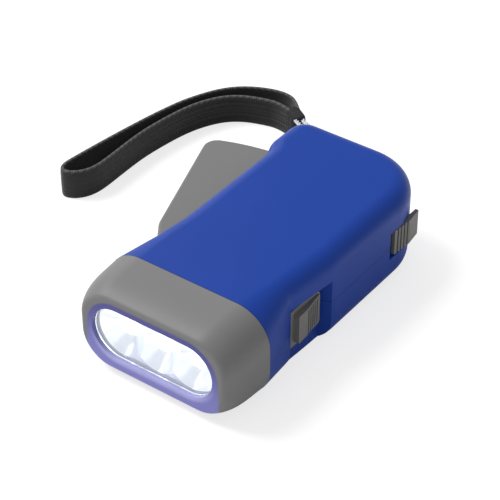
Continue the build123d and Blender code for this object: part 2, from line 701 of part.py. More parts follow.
with BuildPart() as upper_stator_cup:
    add(claw_cup(STATOR_Z[1], STATOR_MIDDLE + 0.05, STATOR_Z[0] + 1.2, 45))
save(upper_stator_cup, "upper_stator_cup")

BOBBIN_Z = (STATOR_Z[0] + 0.6, STATOR_Z[1] - 0.6)
with BuildPart() as coil_bobbin:
    add(disc(ROTOR_AXIS, 8.4, *BOBBIN_Z, bore=7.05))
    add(disc(ROTOR_AXIS, 8.5, BOBBIN_Z[0] + 0.5, BOBBIN_Z[1] - 0.5, bore=7.4), mode=Mode.SUBTRACT)
save(coil_bobbin, "coil_bobbin")

with BuildPart() as coil_winding:
    add(disc(ROTOR_AXIS, 8.2, BOBBIN_Z[0] + 0.55, BOBBIN_Z[1] - 0.55, bore=7.45))
save(coil_winding, "coil_winding")


# ---------------------------------------------------------------- electronics
with BuildPart() as main_board:
    add(block((9.6, 19.4), (-19.8, -6.2), BOARD_Z))
    for corner in BOARD_POSTS:
        add(disc(corner, 0.6, 5, 7), mode=Mode.SUBTRACT)
save(main_board, "main_board")

with BuildPart() as rectifier_diodes:
    for count in range(4):
        with BuildSketch(Plane.XZ.offset(17.0 - 2.1 * count)):
            with Locations((12.2, BOARD_Z[1] + 0.95)):
                Circle(0.85)
        extrude(amount=1.7)
save(rectifier_diodes, "rectifier_diodes")

with BuildPart() as smoothing_capacitor:
    add(disc((11.6, -8.2), 1.7, BOARD_Z[1], 12.0))
    fillet(smoothing_capacitor.faces().sort_by(Axis.Z)[-1].edges(), 0.4)
save(smoothing_capacitor, "smoothing_capacitor")

CELL_CENTRE = (12.6, -26.6)
CELL_RADIUS = 5.6
with BuildPart() as cell_cup:
    add(disc(CELL_CENTRE, CELL_RADIUS + 0.8, WALL + 0.2, 9.0))
    add(disc(CELL_CENTRE, CELL_RADIUS + 0.1, WALL + 0.8, 9.5), mode=Mode.SUBTRACT)
save(cell_cup, "cell_cup")

for name, low in (("lower_storage_cell", 2.9), ("upper_storage_cell", 8.3)):
    with BuildPart() as storage_cell:
        add(disc(CELL_CENTRE, CELL_RADIUS, low, low + 5.2))
        fillet(storage_cell.edges().filter_by(GeomType.CIRCLE), 0.4)
    save(storage_cell, name)

KNOB_Y = (-15.0, -13.0)
with BuildPart() as slide_switch_body:
    add(block((13.6, 17.4), (-19.0, -9.2), (9.6, 18.4)))
    knob_slot = (KNOB_Y[0] - 0.2, KNOB_Y[1] + LIGHT_SLIDER_TRAVEL + 0.2)
    add(block((15.6, 18.0), knob_slot, (12.8, 15.2)), mode=Mode.SUBTRACT)
    for y in (-17.0, -14.1, -11.2):
        add(block((15.2, 15.8), (y - 0.3, y + 0.3), (BOARD_Z[1], 9.7)))
save(slide_switch_body, "slide_switch_body")

with BuildPart() as switch_knob:
    add(block((15.9, 19.3), KNOB_Y, (13.1, 14.9)))
save(switch_knob, "switch_knob")


def wire(points, radius):
    """An insulated wire along a few points, its bends rounded."""
    with BuildPart() as strand:
        with BuildLine() as route:
            FilletPolyline(*points, radius=1.4)
        with BuildSketch(Plane(origin=route.line @ 0, z_dir=route.line % 0)):
            Circle(radius)
        sweep()
    return strand.part


# one pair from the coil to the board, one pair from the board to the lamps
INSULATION_RADIUS = 0.4
with BuildPart() as hookup_wires:
    for x, z in ((15.6, 8.2), (17.2, 7.7)):
        coil_run = ((x, 7.6, z), (x, 0.0, z), (x, -3.6, z - 0.2), (x, -7.6, BOARD_Z[1] + 0.5))
        add(wire(coil_run, INSULATION_RADIUS))
    for x, low_x in ((16.0, 18.6), (12.0, 10.1)):
        lamp_end = ((x, -38.8, 18.6), (x, -35.2, 18.6), (low_x, -24.0, 17.6))
        board_end = ((low_x, -19.2, 12.4), (low_x, -19.2, BOARD_Z[1] + RUNNING_GAP))
        add(wire(lamp_end + board_end, INSULATION_RADIUS))
save(hookup_wires, "hookup_wires")


# ---------------------------------------------------------------- sliders
GRIP_Y = (-20.4, -9.0)
GRIP_Z = (9.4, 18.6)
PLATE_X = (RECESS_X + 0.15, 23.8)
WEDGE_X = (25.6, 25.4, PLATE_X[1] + 0.45)
WEDGE_Y = (GRIP_Y[0], GRIP_Y[0] + 4.6, GRIP_Y[1])
GROOVE_HALF_WIDTH = 0.32
GROOVE_DEPTH = 0.5
with BuildPart() as light_switch_slider:
    with BuildSketch(Plane.YZ.offset(PLATE_X[0])):
        with BuildLine():
            Polyline(
                (LIGHT_SLIDER_Y[0] + 0.15, LIGHT_SLIDER_Z[0]),
                (LIGHT_SLIDER_Y[1], LIGHT_SLIDER_Z[0]),
                (LIGHT_SLIDER_Y[1], LIGHT_SLIDER_Z[1]),
                (LIGHT_SLIDER_Y[0] + 0.15, LIGHT_SLIDER_Z[1]),
                close=True,
            )
        make_face()
    extrude(amount=PLATE_X[1] - PLATE_X[0])
    rear_edges = light_switch_slider.edges().filter_by(Axis.X).group_by(Axis.Y)[-1]
    fillet(rear_edges.sort_by(Axis.Z)[-1], 3.0)
    fillet(rear_edges.sort_by(Axis.Z)[0], 1.2)
    with BuildSketch(Plane.XY.offset(GRIP_Z[0])):
        with BuildLine():
            Polyline(
                (PLATE_X[1] - 0.2, WEDGE_Y[0]),
                (WEDGE_X[0], WEDGE_Y[0]),
                (WEDGE_X[1], WEDGE_Y[1]),
                (WEDGE_X[2], WEDGE_Y[2]),
                (PLATE_X[1] - 0.2, WEDGE_Y[2]),
                close=True,
            )
        make_face()
    extrude(amount=GRIP_Z[1] - GRIP_Z[0])
    wedge_slope = (WEDGE_X[2] - WEDGE_X[1]) / (WEDGE_Y[2] - WEDGE_Y[1])
    for count in range(5):
        groove_y = WEDGE_Y[1] + 0.3 + 1.3 * count
        groove_range = (groove_y - GROOVE_HALF_WIDTH, groove_y + GROOVE_HALF_WIDTH)
        floor_x = WEDGE_X[1] + wedge_slope * (groove_y - WEDGE_Y[1]) - GROOVE_DEPTH
        add(block((floor_x, 27), groove_range, (GRIP_Z[0] - 1, GRIP_Z[1] - 0.7)), mode=Mode.SUBTRACT)
    add(block((18.0, PLATE_X[0] + 0.1), (-16.0, -12.0), (12.2, 15.8)))
    add(block((17.0, 19.5), (KNOB_Y[0] - 0.05, KNOB_Y[1] + 0.05), (12.9, 15.1)), mode=Mode.SUBTRACT)
save(light_switch_slider, "light_switch_slider")

STEM_Z = (12.6, 15.8)
CROWN = (26.0, 34.6)
FRONT_X = 25.4
with BuildPart() as lever_lock_slider:
    with BuildSketch(Plane.XY.offset(LOCK_SLIDER_Z[0])):
        with BuildLine():
            Polyline(
                (LOCK_FLOOR_X + 0.2, LOCK_SLIDER_Y[0]),
                (FRONT_X, LOCK_SLIDER_Y[0]),
                CROWN,
                (25.3, LOCK_SLIDER_Y[1]),
                (LOCK_FLOOR_X + 0.2, LOCK_SLIDER_Y[1]),
                close=True,
            )
        make_face()
    extrude(amount=LOCK_SLIDER_Z[1] - LOCK_SLIDER_Z[0])
    crown_slope = (CROWN[0] - FRONT_X) / (CROWN[1] - LOCK_SLIDER_Y[0])
    for count in range(4):
        groove_y = LOCK_SLIDER_Y[0] + 1.5 + 1.5 * count
        groove_range = (groove_y - GROOVE_HALF_WIDTH, groove_y + GROOVE_HALF_WIDTH)
        floor_x = FRONT_X + crown_slope * (groove_y - LOCK_SLIDER_Y[0]) - GROOVE_DEPTH
        add(block((floor_x, 27), groove_range, LOCK_SLIDER_Z), mode=Mode.SUBTRACT)
    add(block((21.5, 24.5), (27.5, 29.4), STEM_Z))
    add(block((18.0, 22.6), (LATCH_PIN[1], 29.4), STEM_Z))
    add(disc(LATCH_PIN, LATCH_PIN_RADIUS + 0.5, *STEM_Z))
    add(disc(LATCH_PIN, LATCH_PIN_RADIUS + PRESS_GAP, STEM_Z[0] - 1, STEM_Z[1] + 1), mode=Mode.SUBTRACT)
save(lever_lock_slider, "lever_lock_slider")

with BuildPart() as latch_pin:
    add(disc(LATCH_PIN, LATCH_PIN_RADIUS, STEM_Z[0], 21.4))
save(latch_pin, "latch_pin")


# ---------------------------------------------------------------- screws
with BuildPart() as shell_screws:
    for screw in SCREWS:
        add(disc(screw, SCREW_HEAD_RADIUS, SCREW_Z[0], 2.98))
        add(disc(screw, SCREW_RADIUS, 2.9, SCREW_Z[1]))
        for half_x, half_y in ((1.2, 0.25), (0.25, 1.2)):
            with Locations((screw[0], screw[1], SCREW_Z[0])):
                Box(2 * half_x, 2 * half_y, 1.2, mode=Mode.SUBTRACT)
save(shell_screws, "shell_screws")


# ---------------------------------------------------------------- wrist strap
def bend_radii(route):
    """The arc at each inner point: 0.45 of its shorter run over the tangent of half the turn."""
    radii = []
    for before, here, after in zip(route, route[1:], route[2:]):
        run_in = Vector(here) - Vector(before)
        run_out = Vector(after) - Vector(here)
        turn = math.radians(run_in.get_angle(run_out))
        radii.append(0.45 * min(run_in.length, run_out.length) / math.tan(turn / 2))
    return radii


WEBBING_ROUTE = (
    (-40.8, 74.2), (-44.4, 77.9), (-49.0, 79.4), (-54.2, 78.6), (-59.8, 76.2),
    (-64.6, 72.8), (-68.4, 68.0), (-71.3, 62.1), (-73.8, 55.4), (-75.5, 47.7),
    (-76.9, 40.2), (-79.0, 26.0), (-80.8, 11.0), (-81.2, 6.2), (-79.8, 3.5),
    (-76.6, 4.2), (-73.9, 7.0), (-72.5, 10.8), (-72.3, 16.0), (-72.8, 26.0),
    (-72.9, 36.0), (-71.3, 48.9), (-69.6, 56.0), (-67.2, 61.7), (-64.0, 66.5),
    (-59.6, 69.9), (-54.2, 72.0), (-47.6, 73.6), (-42.2, 71.8),
)
webbing_points = [(x, y, WEBBING_WIDTH / 2 + 0.1) for x, y in WEBBING_ROUTE]
webbing_radii = bend_radii(webbing_points)
with BuildPart() as wrist_strap:
    with BuildLine() as webbing_line:
        FilletPolyline(*webbing_points, radius=webbing_radii)
    start_plane = Plane(origin=webbing_line.line @ 0, x_dir=(0, 0, 1), z_dir=webbing_line.line % 0)
    with BuildSketch(start_plane):
        Rectangle(WEBBING_WIDTH, WEBBING_THICKNESS)
    sweep()
save(wrist_strap, "wrist_strap")
webbing_length = webbing_line.wires()[0].length
print("webbing length", round(webbing_length, 1), "radii", [round(r, 1) for r in webbing_radii])
print("webbing volume", round(wrist_strap.part.volume), "expected",
      round(webbing_length * WEBBING_WIDTH * WEBBING_THICKNESS))

CORD_ROUTE = (
    (-12.4, 47.0, 15.6), (-12.6, 52.0, 15.6), (-17.9, 58.0, 14.4), (-25.2, 63.6, 12.0),
    (-30.9, 67.2, 10.0), (-34.8, 69.6, 9.2), (-37.7, 71.3, 9.0), (-39.2, 71.8, 9.0),
    (-39.8, 70.7, 9.0), (-38.8, 69.5, 9.0), (-35.9, 67.8, 9.2), (-31.9, 65.4, 10.0),
    (-26.2, 61.8, 12.0), (-19.7, 56.4, 14.4), (-16.0, 51.6, 15.6), (-15.6, 47.0, 15.6),
)
cord_radii = bend_radii(CORD_ROUTE)
with BuildPart() as strap_cord:
    with BuildLine() as cord_line:
        FilletPolyline(*CORD_ROUTE, radius=cord_radii)
    with BuildSketch(Plane(origin=cord_line.line @ 0, z_dir=cord_line.line % 0)):
        Circle(CORD_RADIUS)
    sweep()
save(strap_cord, "strap_cord")
cord_length = cord_line.wires()[0].length
print("cord length", round(cord_length, 1), "radii", [round(r, 1) for r in cord_radii])
print("cord volume", round(strap_cord.part.volume, 1), "expected",
      round(cord_length * math.pi * CORD_RADIUS**2, 1))

# sewn end: the webbing's two ends go in at one side, the cord's fold at the other
FERRULE_SIZE = (7.6, 5.0, 10.4)
FERRULE_CENTRE = (-40.0, 71.9, 0)
FERRULE_TURN = -32.0
with BuildPart() as strap_ferrule:
    with BuildSketch(Plane(FERRULE_CENTRE)):
        Rectangle(FERRULE_SIZE[0], FERRULE_SIZE[1], rotation=FERRULE_TURN)
    extrude(amount=FERRULE_SIZE[2])
    fillet(strap_ferrule.edges().filter_by(Axis.Z), 1.2)
    add(wrist_strap.part, mode=Mode.SUBTRACT)
    add(strap_cord.part, mode=Mode.SUBTRACT)
save(strap_ferrule, "strap_ferrule")
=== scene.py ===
import math

import bpy
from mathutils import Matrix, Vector


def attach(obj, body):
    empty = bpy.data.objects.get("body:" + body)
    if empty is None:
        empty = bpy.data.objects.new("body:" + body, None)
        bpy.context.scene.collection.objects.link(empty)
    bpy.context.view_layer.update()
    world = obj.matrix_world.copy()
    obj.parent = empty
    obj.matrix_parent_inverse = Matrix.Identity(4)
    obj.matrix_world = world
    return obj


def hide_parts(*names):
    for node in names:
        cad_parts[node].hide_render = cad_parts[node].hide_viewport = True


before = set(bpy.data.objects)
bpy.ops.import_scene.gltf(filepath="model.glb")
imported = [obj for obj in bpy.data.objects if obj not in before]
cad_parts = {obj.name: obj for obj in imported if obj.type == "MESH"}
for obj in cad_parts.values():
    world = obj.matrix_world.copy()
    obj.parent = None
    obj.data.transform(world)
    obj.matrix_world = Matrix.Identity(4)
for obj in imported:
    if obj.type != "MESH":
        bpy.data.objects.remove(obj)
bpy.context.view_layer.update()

MM = 0.001

# ---- View -----------------------------------------------------------------------------------
# The torch lies on its flat underside, its lens towards the camera and its strap behind it.
# The camera stands in front and to the right, and looks about 37 degrees down a long lens.
LOOK_AT = Vector((-16.92, 15.35, 0.0)) * MM
TO_CAMERA = Vector((0.4690, -0.6410, 0.6080))
CAMERA_DISTANCE = 534.4 * MM
LENS_MM = 129.6
SENSOR_MM = 36.0

camera_data = bpy.data.cameras.new("camera")
camera_data.lens = LENS_MM
camera_data.sensor_width = SENSOR_MM
camera = bpy.data.objects.new("camera", camera_data)
camera.location = LOOK_AT + TO_CAMERA.normalized() * CAMERA_DISTANCE
camera.rotation_euler = TO_CAMERA.to_track_quat("Z", "Y").to_euler()
bpy.context.collection.objects.link(camera)
bpy.context.scene.camera = camera
bpy.context.scene.view_settings.view_transform = "Standard"


# ---- Housing --------------------------------------------------------------------------------
# Two blue moulded shells, parted at mid height, in satin ABS with a fine spark-eroded grain.
# The split, and the joint with the head, show as hairlines. Handling polished it in patches.
class Field:
    """A number that varies over a surface or a piece; arithmetic on it adds Math nodes."""

    def __init__(self, nodes, socket):
        self.nodes = nodes
        self.socket = socket

    def math(self, operation, *others):
        return self.nodes.math(operation, self, *others)

    def __add__(self, other):
        return self.math("ADD", other)

    def __sub__(self, other):
        return self.math("SUBTRACT", other)

    def __mul__(self, other):
        return self.math("MULTIPLY", other)

    def __truediv__(self, other):
        return self.math("DIVIDE", other)

    def __pow__(self, other):
        return self.math("POWER", other)

    def __rsub__(self, other):
        return self.nodes.math("SUBTRACT", other, self)

    def __abs__(self):
        return self.math("ABSOLUTE")

    __radd__ = __add__
    __rmul__ = __mul__

    def step(self, start, end):
        """0 below start, 1 above end, smooth between."""
        node = self.nodes.node(
            "ShaderNodeMapRange",
            {"interpolation_type": "SMOOTHSTEP"},
            {"Value": self, "From Min": start, "From Max": end},
        )
        return Field(self.nodes, node.outputs["Result"])


class Nodes:
    """A node tree, of a material, of the room or of a piece's shape."""

    def __init__(self, tree):
        self.tree = tree

    def feed(self, socket, value):
        """Sets a socket, or links it to a Field, a socket or a node's first output."""
        if isinstance(value, Field):
            value = value.socket
        if isinstance(value, bpy.types.Node):
            value = value.outputs[0]
        if isinstance(value, bpy.types.NodeSocket):
            self.tree.links.new(value, socket)
        else:
            socket.default_value = value

    def node(self, kind, settings=None, sockets=None):
        """Any node: its settings first, then the values or links of its sockets."""
        node = self.tree.nodes.new(kind)
        for name, value in (settings or {}).items():
            setattr(node, name, value)
        for name, value in (sockets or {}).items():
            self.feed(node.inputs[name], value)
        return node

    def math(self, operation, *values):
        """One Math node on values, sockets or Fields."""
        node = self.node("ShaderNodeMath", {"operation": operation})
        for socket, value in zip(node.inputs, values):
            self.feed(socket, value)
        return Field(self, node.outputs[0])

    def vector(self, x=0.0, y=0.0, z=0.0):
        """A place or a size from its three parts."""
        return self.node("ShaderNodeCombineXYZ", None, {"X": x, "Y": y, "Z": z})


class Finish(Nodes):
    """A material: its Principled shader takes plain values, links or Fields."""

    def __init__(self, name, **shader):
        self.material = bpy.data.materials.new(name)
        self.material.use_nodes = True
        super().__init__(self.material.node_tree)
        self.shader = self.tree.nodes["Principled BSDF"]
        place = self.node("ShaderNodeTexCoord")
        self.place = place.outputs["Object"]
        self.uv = place.outputs["UV"]
        for socket_name, value in shader.items():
            self.set(socket_name.replace("_", " "), value)

    def set(self, name, value):
        self.feed(self.shader.inputs[name], value)

    def noise(self, per_metre, detail=3.0):
        """Cloudy variation from 0 to 1, so many features to the metre."""
        sockets = {"Scale": per_metre, "Detail": detail, "Vector": self.place}
        return Field(self, self.node("ShaderNodeTexNoise", None, sockets).outputs["Fac"])

    def axes(self, vector=None):
        """The three parts of a place, or of a UV, as Fields."""
        node = self.node("ShaderNodeSeparateXYZ", None, {"Vector": vector or self.place})
        return [Field(self, node.outputs[axis]) for axis in "XYZ"]

    def blend(self, factor, first, second):
        """A colour between two colours. Mix has its colours at sockets 6 and 7, and out at 2."""
        node = self.node("ShaderNodeMix", {"data_type": "RGBA"})
        self.feed(node.inputs[0], factor)
        self.feed(node.inputs[6], first)
        self.feed(node.inputs[7], second)
        return node.outputs[2]

    def relief(self, height, distance, strength):
        """Fine relief: height 1 stands distance metres proud."""
        sockets = {"Height": height, "Distance": distance, "Strength": strength}
        self.set("Normal", self.node("ShaderNodeBump", None, sockets))

    def on(self, *names):
        """Puts the finish on CAD nodes."""
        for name in names:
            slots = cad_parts[name].data.materials
            slots.clear()
            slots.append(self.material)


def tint(red, green, blue):
    """An opaque colour."""
    return (red, green, blue, 1.0)


PARTING_Z = 13.5 * MM
HEAD_JOINT_Y = -35.7 * MM
PARTING_LINE = 0.05 * MM, 0.20 * MM
HEAD_LINE = 0.10 * MM, 0.35 * MM
DEEP_BLUE, BRIGHT_BLUE = tint(0.0060, 0.036, 0.245), tint(0.0090, 0.044, 0.282)
LINE_BLUE = tint(0.002, 0.008, 0.060)

housing_blue = Finish("housing_blue", Specular_IOR_Level=0.15)
x, y, z = housing_blue.axes()
grain = housing_blue.noise(2600.0, 2.0)
parting_line = 1.0 - abs(z - PARTING_Z).step(*PARTING_LINE)
head_line = 1.0 - abs(y - HEAD_JOINT_Y).step(*HEAD_LINE)
hairline = parting_line.math("MAXIMUM", head_line)
shade = housing_blue.blend(housing_blue.noise(28.0), DEEP_BLUE, BRIGHT_BLUE)
housing_blue.set("Base Color", housing_blue.blend(0.7 * hairline, shade, LINE_BLUE))
housing_blue.set("Roughness", 0.34 + 0.10 * housing_blue.noise(60.0) + 0.06 * grain)
housing_blue.relief(0.25 * grain - hairline, 0.08 * MM, 0.5)
housing_blue.on("upper_shell", "lower_shell")

# ---- Head -----------------------------------------------------------------------------------
# The grey bezel's lip, round the lens, carries a painted violet-blue glow of the lit lamps, with
# a painted highlight on its lower edge. The painted glow ends in a soft line on the rim.
LENS_HALF_STRAIGHT = 11.75 * MM
LENS_END_RADIUS = 8.45 * MM
LENS_MIDDLE_Z = 15.0 * MM
LIP_EDGE = 1.4 * MM, 2.1 * MM
LIP_WIDER_BELOW = 4.5 * MM
LIP_DEPTH_Y = -50.9 * MM, -50.1 * MM
LIP_DEEPER_BELOW = 1.2 * MM
BEZEL_GREYS = tint(0.142, 0.142, 0.143), tint(0.164, 0.164, 0.166)
# Painted glow of the lamps on the lip: lighter low down, darker high up.
PAINTED_GLOW_BELOW, PAINTED_GLOW_ABOVE = tint(0.170, 0.165, 0.450), tint(0.060, 0.055, 0.230)
PAINTED_HIGHLIGHT = tint(0.50, 0.50, 0.80)

bezel_grey = Finish("bezel_grey", Specular_IOR_Level=0.25)
x, y, z = bezel_grey.axes()
grain = bezel_grey.noise(2400.0, 2.0)
past_straight = (abs(x) - LENS_HALF_STRAIGHT).math("MAXIMUM", 0.0)
above_middle = z - LENS_MIDDLE_Z
from_end_centre = (past_straight * past_straight + above_middle * above_middle).math("SQRT")
from_lens = from_end_centre - LENS_END_RADIUS
below = 1.0 - z.step(1.5 * MM, 15.0 * MM)
lip = 1.0 - (from_lens - below * LIP_WIDER_BELOW).step(*LIP_EDGE)
# Where the painted glow goes, on the lip's front part; the lip is glossier there too.
glow_lip_mask = lip * (1.0 - (y - below * LIP_DEEPER_BELOW).step(*LIP_DEPTH_Y))
grey_tone = bezel_grey.blend(bezel_grey.noise(35.0), *BEZEL_GREYS)
# The painted glow, lighter below and darker above.
painted_glow = bezel_grey.blend(z.step(5.0 * MM, 24.0 * MM), PAINTED_GLOW_BELOW, PAINTED_GLOW_ABOVE)
# A painted highlight along the lower edge of the lens opening.
painted_highlight_edge = below * (1.0 - from_lens.step(0.2 * MM, 2.0 * MM))
painted_glow = bezel_grey.blend(0.8 * painted_highlight_edge, painted_glow, PAINTED_HIGHLIGHT)
bezel_grey.set("Base Color", bezel_grey.blend(glow_lip_mask, grey_tone, painted_glow))
bezel_grey.set("Roughness", 0.45 + 0.1 * grain - 0.20 * glow_lip_mask)
bezel_grey.relief(grain, 0.02 * MM, 0.4)
bezel_grey.on("head_bezel")

# ---- Lens, reflector and lamps ----------------------------------------------------------------
# The lens is a clear acrylic pane, set into the bezel. The three bowls behind it are vacuum
# plated plastic, and each holds a clear 5 mm lamp, which is lit. The bowls' glow is painted light.
BOWL_GLOW = tint(0.86, 0.92, 1.0)
PLATING = tint(0.80, 0.84, 0.90), tint(0.93, 0.95, 0.98)
LAMP_LIGHT = tint(0.90, 0.95, 1.0), tint(1.0, 1.0, 1.0)

acrylic = Finish(
    "clear_lens", Base_Color=tint(0.97, 0.98, 1.0), Roughness=0.03, IOR=1.45,
    Transmission_Weight=1.0,
)
acrylic.on("lens")

# The plating's emission is painted light: the glow of the lamps in the bowls.
plating = Finish(
    "reflector_plating", Metallic=1.0, Emission_Color=BOWL_GLOW, Emission_Strength=0.34,
)
plating.set("Base Color", plating.blend(plating.noise(120.0), *PLATING))
plating.set("Roughness", 0.18 + 0.10 * plating.noise(300.0))
plating.relief(plating.noise(500.0), 0.05 * MM, 0.25)
plating.on("reflector")

lit_resin = Finish(
    "lit_lamp", Base_Color=tint(0.95, 0.97, 1.0), Roughness=0.2, Emission_Strength=1.3,
)
lit_resin.set("Emission Color", lit_resin.blend(lit_resin.noise(900.0), *LAMP_LIGHT))
lit_resin.on("left_led", "middle_led", "right_led")

# ---- Lever ----------------------------------------------------------------------------------
# The squeeze lever is one grey ABS moulding on a steel pin, with a finer, drier grain than the
# housing. Palms have rubbed it slightly paler and smoother in patches.
LEVER_GREYS = tint(0.150, 0.150, 0.148), tint(0.168, 0.168, 0.166)

lever_grey = Finish("lever_grey", Specular_IOR_Level=0.2)
grain = lever_grey.noise(2200.0, 2.0)
rubbed = lever_grey.noise(22.0, 4.0).step(0.45, 0.8)
lever_grey.set("Base Color", lever_grey.blend(rubbed, *LEVER_GREYS))
lever_grey.set("Roughness", 0.50 + 0.12 * grain - 0.05 * rubbed)
lever_grey.relief(grain, 0.03 * MM, 0.45)
lever_grey.on("squeeze_lever")

# ---- Sliders --------------------------------------------------------------------------------
# The light switch and the lever's lock are two ribbed thumb slides in a darker grey acetal,
# mottled with dust. Each slides along a slot in the housing's side.
SLIDER_GREYS = tint(0.125, 0.123, 0.117), tint(0.155, 0.152, 0.145)

slider_grey = Finish("slider_grey", Specular_IOR_Level=0.35)
grain = slider_grey.noise(1800.0, 2.0)
slider_grey.set("Base Color", slider_grey.blend(slider_grey.noise(400.0), *SLIDER_GREYS))
slider_grey.set("Roughness", 0.45 + 0.12 * grain)
slider_grey.relief(grain, 0.03 * MM, 0.4)
slider_grey.on("light_switch_slider", "lever_lock_slider")

# ---- Gears, generator and electronics ---------------------------------------------------------
# They sit inside the shells: turned steel pins, brass and nylon gears, plated iron cups, a
# copper winding and two green circuit boards. Each row is name, colour, metal, roughness, nodes.
INNER_FINISHES = (
    ("steel", (0.50, 0.50, 0.51), 1.0, 0.28, (
        "lever_pivot_pin", "return_spring", "first_axle", "second_axle",
        "pawl_spring", "rotor_shaft", "latch_pin", "shell_screws",
    )),
    ("plated_iron", (0.55, 0.54, 0.50), 1.0, 0.35, (
        "lower_stator_cup", "upper_stator_cup", "lower_storage_cell", "upper_storage_cell",
        "slide_switch_body",
    )),
    ("nylon", (0.72, 0.70, 0.64), 0.0, 0.45, (
        "drive_pinion", "first_gear", "ratchet_wheel", "second_pinion", "second_gear",
        "coil_bobbin", "cell_cup",
    )),
    ("brass", (0.62, 0.43, 0.16), 1.0, 0.30, ("rotor_pinion", "flywheel")),
    ("ferrite", (0.045, 0.045, 0.050), 0.0, 0.60, ("rotor_magnet",)),
    ("winding", (0.50, 0.18, 0.06), 0.8, 0.35, ("coil_winding",)),
    ("solder_mask", (0.015, 0.130, 0.045), 0.0, 0.30, ("main_board", "led_board")),
    ("component_black", (0.018, 0.018, 0.020), 0.0, 0.40, (
        "rectifier_diodes", "smoothing_capacitor", "switch_knob",
    )),
    ("wire_red", (0.42, 0.03, 0.02), 0.0, 0.40, ("hookup_wires",)),
)
DARKEST = 0.88

for name, colour, metal, rough, nodes in INNER_FINISHES:
    inner = Finish(name, Metallic=metal)
    fine = inner.noise(900.0)
    darker = [DARKEST * part for part in colour]
    inner.set("Base Color", inner.blend(fine, tint(*darker), tint(*colour)))
    inner.set("Roughness", rough + 0.12 * fine)
    inner.relief(fine, 0.02 * MM, 0.3)
    inner.on(*nodes)

# ---- Strap cord -------------------------------------------------------------------------------
# A thin pale nylon cord of three twisted strands, doubled: both ends go into the tail, and its
# fold is knotted inside the strap's end piece. Its section turns as it is swept along a route,
# whose points, like the webbing's, are in millimetres.
CORD_RADIUS = 0.7 * MM
CORD_ROUTE = (
    (-12.4, 47.0, 15.6), (-12.6, 52.0, 15.6), (-17.9, 58.0, 14.4), (-25.2, 63.6, 12.0),
    (-30.9, 67.2, 10.0), (-34.8, 69.6, 9.2), (-37.7, 71.3, 9.0), (-39.2, 71.8, 9.0),
    (-39.8, 70.7, 9.0), (-38.8, 69.5, 9.0), (-35.9, 67.8, 9.2), (-31.9, 65.4, 10.0),
    (-26.2, 61.8, 12.0), (-19.7, 56.4, 14.4), (-16.0, 51.6, 15.6), (-15.6, 47.0, 15.6),
)
STRANDS = 3
STRAND_SIDES = 12
TOUCHING_STRAND_RADIUS = CORD_RADIUS / (1.0 + 1.0 / math.sin(math.pi / STRANDS))
NYLON_WHITES = tint(0.48, 0.48, 0.50), tint(0.68, 0.68, 0.70)


class Making(Nodes):
    """A Geometry Nodes tree that makes one piece on a base mesh, with named sizes."""

    def __init__(self, name, **sizes):
        super().__init__(bpy.data.node_groups.new(name, "GeometryNodeTree"))
        self.sizes = sizes
        interface = self.tree.interface
        interface.new_socket("Base", in_out="INPUT", socket_type="NodeSocketGeometry")
        for size in sizes:
            interface.new_socket(size, in_out="INPUT", socket_type="NodeSocketFloat")
        interface.new_socket("Piece", in_out="OUTPUT", socket_type="NodeSocketGeometry")
        self.given = self.node("NodeGroupInput").outputs
        self.base = self.given["Base"]

    def size(self, name):
        """One of the named sizes, as a Field."""
        return Field(self, self.given[name])

    def route(self, spacing):
        """The base's edges as a curve with evenly spaced points."""
        curve = self.node("GeometryNodeMeshToCurve", None, {"Mesh": self.base})
        sockets = {"Curve": curve, "Length": spacing}
        return self.node("GeometryNodeResampleCurve", {"mode": "LENGTH"}, sockets)

    def along(self, part="Length"):
        """How far along its curve each point is: as a Length, or as a Factor from 0 to 1."""
        return Field(self, self.node("GeometryNodeSplineParameter").outputs[part])

    def keep(self, geometry, value):
        """Notes a value at each point before the shape changes; returns geometry and note."""
        node = self.node("GeometryNodeCaptureAttribute")
        node.capture_items.new("FLOAT", "Value")
        self.feed(node.inputs["Geometry"], geometry)
        self.feed(node.inputs["Value"], value)
        return node.outputs["Geometry"], Field(self, node.outputs["Value"])

    def sweep(self, curve, section):
        """A section swept along a curve, closed at both ends."""
        sockets = {"Curve": curve, "Profile Curve": section, "Fill Caps": True}
        return self.node("GeometryNodeCurveToMesh", None, sockets)

    def build(self, geometry, finish, base):
        """Ends the tree, runs it on the base mesh and returns the piece as a plain mesh."""
        real = self.node("GeometryNodeRealizeInstances", None, {"Geometry": geometry})
        sockets = {"Geometry": real, "Material": finish.material}
        dressed = self.node("GeometryNodeSetMaterial", None, sockets)
        self.node("NodeGroupOutput", None, {"Piece": dressed})
        name = self.tree.name
        holder = bpy.data.objects.new(name + "_base", base)
        bpy.context.collection.objects.link(holder)
        modifier = holder.modifiers.new(name, "NODES")
        modifier.node_group = self.tree
        for socket in self.tree.interface.items_tree:
            if socket.name in self.sizes:
                modifier[socket.identifier] = self.sizes[socket.name]
        made = holder.evaluated_get(bpy.context.evaluated_depsgraph_get())
        mesh = bpy.data.meshes.new_from_object(made)
        mesh.name = name
        mesh.materials.clear()
        mesh.materials.append(finish.material)
        mesh.polygons.foreach_set("material_index", [0] * len(mesh.polygons))
        bpy.data.objects.remove(holder)
        piece = bpy.data.objects.new(name, mesh)
        bpy.context.collection.objects.link(piece)
        return piece


def smooth_line(name, route):
    """The points along the NURBS spline of a route given in millimetres."""
    curve = bpy.data.curves.new(name, "CURVE")
    curve.dimensions = "3D"
    curve.resolution_u = 12
    spline = curve.splines.new("NURBS")
    spline.points.add(len(route) - 1)
    for point, place in zip(spline.points, route):
        point.co = (*[part * MM for part in place], 1.0)
    spline.order_u = 3
    spline.use_endpoint_u = True
    holder = bpy.data.objects.new(name, curve)
    line = bpy.data.meshes.new_from_object(holder)
    points = [vertex.co.copy() for vertex in line.vertices]
    bpy.data.objects.remove(holder)
    return points


